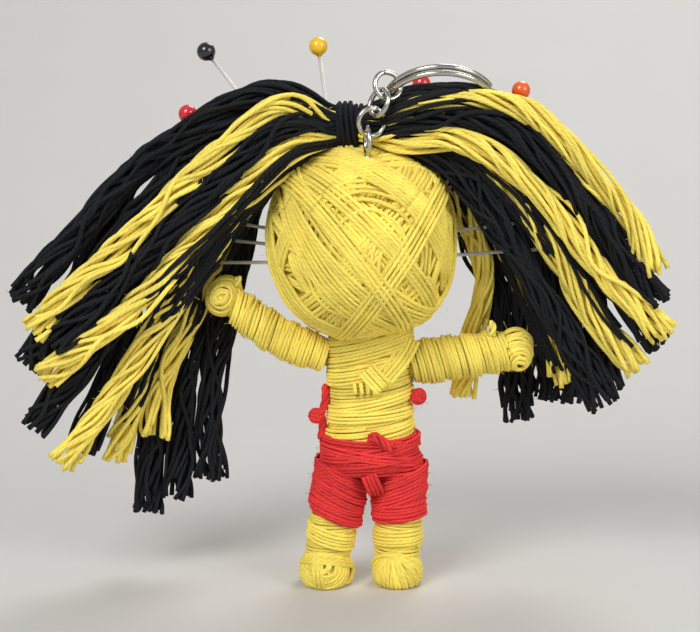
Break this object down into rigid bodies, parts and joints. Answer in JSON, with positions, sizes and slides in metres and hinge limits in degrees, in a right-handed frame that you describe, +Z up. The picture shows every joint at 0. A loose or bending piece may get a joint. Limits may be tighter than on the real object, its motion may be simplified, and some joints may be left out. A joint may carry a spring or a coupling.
{
  "type": "string doll key chain",
  "caption": "Yarn-wound voodoo doll with cord hair tied at the crown, ball-head pins stuck in the head, bendable arms, red shorts and a chain with a split ring.",
  "frame": {"origin": "on the floor under the middle of everything but the hair cords", "axes": "+Z up from the soles to the crown; the pictured side faces -Y; +X to the right in the picture"},
  "size_m": [0.1406, 0.0422, 0.1196],
  "materials": {
    "yellow_yarn": "twisted cotton yarn",
    "black_yarn": "twisted cotton yarn",
    "red_yarn": "twisted cotton yarn",
    "foam": "plain foam",
    "armature_wire": "drawn wire",
    "nickel_wire": "nickel plated",
    "black_ball": "gloss bead on a steel shaft",
    "yellow_ball": "gloss bead on a steel shaft",
    "red_ball": "gloss bead on a steel shaft",
    "orange_ball": "gloss bead on a steel shaft"
  },
  "bodies": {
    "doll": {"head_ball": "foam", "head_yarn_body": "yellow_yarn", "head_band_inner": "yellow_yarn", "head_band_outer": "yellow_yarn", "torso_core": "yellow_yarn", "torso_winding": "yellow_yarn", "shorts_waist_winding": "red_yarn", "spine_wire": "armature_wire", "sash": "red_yarn", "hair_tie": "black_yarn", "screw_eye": "nickel_wire", "leg_core_left": "yellow_yarn", "leg_winding_left": "yellow_yarn", "shorts_leg_winding_left": "red_yarn", "foot_left": "yellow_yarn", "leg_wire_left": "armature_wire", "leg_core_right": "yellow_yarn", "leg_winding_right": "yellow_yarn", "shorts_leg_winding_right": "red_yarn", "foot_right": "yellow_yarn", "leg_wire_right": "armature_wire", "hair_cord_front_1": "yellow_yarn", "hair_cord_front_2": "black_yarn", "hair_cord_front_3": "yellow_yarn", "hair_cord_upper_1": "black_yarn", "hair_cord_upper_2": "black_yarn", "hair_cord_upper_3": "black_yarn", "hair_cord_upper_4": "yellow_yarn", "hair_cord_lower_1": "black_yarn", "hair_cord_lower_2": "black_yarn", "hair_cord_lower_3": "yellow_yarn", "hair_cord_lower_4": "yellow_yarn", "hair_cord_rear_1": "black_yarn", "hair_cord_rear_2": "black_yarn", "hair_cord_rear_3": "black_yarn"},
    "arm_left": {"arm_core_left": "yellow_yarn", "arm_winding_left": "yellow_yarn", "hand_left": "yellow_yarn", "arm_wire_left": "armature_wire"},
    "arm_right": {"arm_core_right": "yellow_yarn", "arm_winding_right": "yellow_yarn", "hand_right": "yellow_yarn", "arm_wire_right": "armature_wire"},
    "jump_ring_1": {"jump_ring_1": "nickel_wire"},
    "jump_ring_2": {"jump_ring_2": "nickel_wire"},
    "jump_ring_3": {"jump_ring_3": "nickel_wire"},
    "split_ring": {"split_ring": "nickel_wire"},
    "pin_black_top": {"pin_black_top": "black_ball"},
    "pin_yellow_top": {"pin_yellow_top": "yellow_ball"},
    "pin_red_top_left": {"pin_red_top_left": "red_ball"},
    "pin_red_top_right": {"pin_red_top_right": "red_ball"},
    "pin_orange_top": {"pin_orange_top": "orange_ball"},
    "pin_red_side_right": {"pin_red_side_right": "red_ball"},
    "pin_side_left_1": {"pin_side_left_1": "yellow_ball"},
    "pin_side_left_2": {"pin_side_left_2": "black_ball"},
    "pin_side_left_3": {"pin_side_left_3": "orange_ball"},
    "pin_side_right_1": {"pin_side_right_1": "yellow_ball"},
    "pin_side_right_2": {"pin_side_right_2": "black_ball"}
  },
  "joints": [
    {"name": "shoulder_left", "type": "hinge", "parent": "doll", "child": "arm_left", "pos_m": [-0.00796, 0.00001, 0.0509], "axis": [0, -1, 0], "range_deg": [0, 30], "deforming": ["arm_wire_left"]},
    {"name": "shoulder_right", "type": "hinge", "parent": "doll", "child": "arm_right", "pos_m": [0.01054, 0.00001, 0.0493], "axis": [0, 1, 0], "range_deg": [-10, 12], "deforming": ["arm_wire_right"]},
    {"name": "jump_ring_1_swing", "type": "hinge", "parent": "doll", "child": "jump_ring_1", "pos_m": [0.00067, -0.01004, 0.10023], "axis": [0, -0.6428, -0.766], "range_deg": [0, 20]},
    {"name": "jump_ring_2_swing", "type": "hinge", "parent": "jump_ring_1", "child": "jump_ring_2", "pos_m": [0.00263, -0.00978, 0.10394], "axis": [0, -0.6428, -0.766], "range_deg": [0, 20]},
    {"name": "jump_ring_3_swing", "type": "hinge", "parent": "jump_ring_2", "child": "jump_ring_3", "pos_m": [0.00426, -0.00993, 0.10797], "axis": [0, -0.6428, -0.766], "range_deg": [0, 20]},
    {"name": "split_ring_swing", "type": "hinge", "parent": "jump_ring_3", "child": "split_ring", "pos_m": [0.00724, -0.00828, 0.10885], "axis": [0, -0.6428, -0.766], "range_deg": [0, 32]},
    {"name": "pin_black_top_pull", "type": "slide", "parent": "doll", "child": "pin_black_top", "axis": [-0.617, 0, 0.787], "range_m": [-0.003, 0.008]},
    {"name": "pin_yellow_top_pull", "type": "slide", "parent": "doll", "child": "pin_yellow_top", "axis": [-0.128, 0, 0.9918], "range_m": [-0.003, 0.02]},
    {"name": "pin_red_top_left_pull", "type": "slide", "parent": "doll", "child": "pin_red_top_left", "axis": [-0.823, 0, 0.568], "range_m": [0, 0.016]},
    {"name": "pin_red_top_right_pull", "type": "slide", "parent": "doll", "child": "pin_red_top_right", "axis": [0.3691, 0, 0.9294], "range_m": [0, 0.018]},
    {"name": "pin_orange_top_pull", "type": "slide", "parent": "doll", "child": "pin_orange_top", "axis": [0.6248, 0, 0.7808], "range_m": [0, 0.016]},
    {"name": "pin_red_side_right_pull", "type": "slide", "parent": "doll", "child": "pin_red_side_right", "axis": [0.9, 0, 0.436], "range_m": [0, 0.018]},
    {"name": "pin_side_left_1_pull", "type": "slide", "parent": "doll", "child": "pin_side_left_1", "axis": [-0.9864, 0, 0.1641], "range_m": [0, 0.018]},
    {"name": "pin_side_left_2_pull", "type": "slide", "parent": "doll", "child": "pin_side_left_2", "axis": [-0.9945, 0, 0.105], "range_m": [0, 0.018]},
    {"name": "pin_side_left_3_pull", "type": "slide", "parent": "doll", "child": "pin_side_left_3", "axis": [-1, 0, 0], "range_m": [0, 0.018]},
    {"name": "pin_side_right_1_pull", "type": "slide", "parent": "doll", "child": "pin_side_right_1", "axis": [0.9923, 0, 0.124], "range_m": [0, 0.018]},
    {"name": "pin_side_right_2_pull", "type": "slide", "parent": "doll", "child": "pin_side_right_2", "axis": [0.9975, 0, 0.071], "range_m": [0, 0.018]}
  ]
}
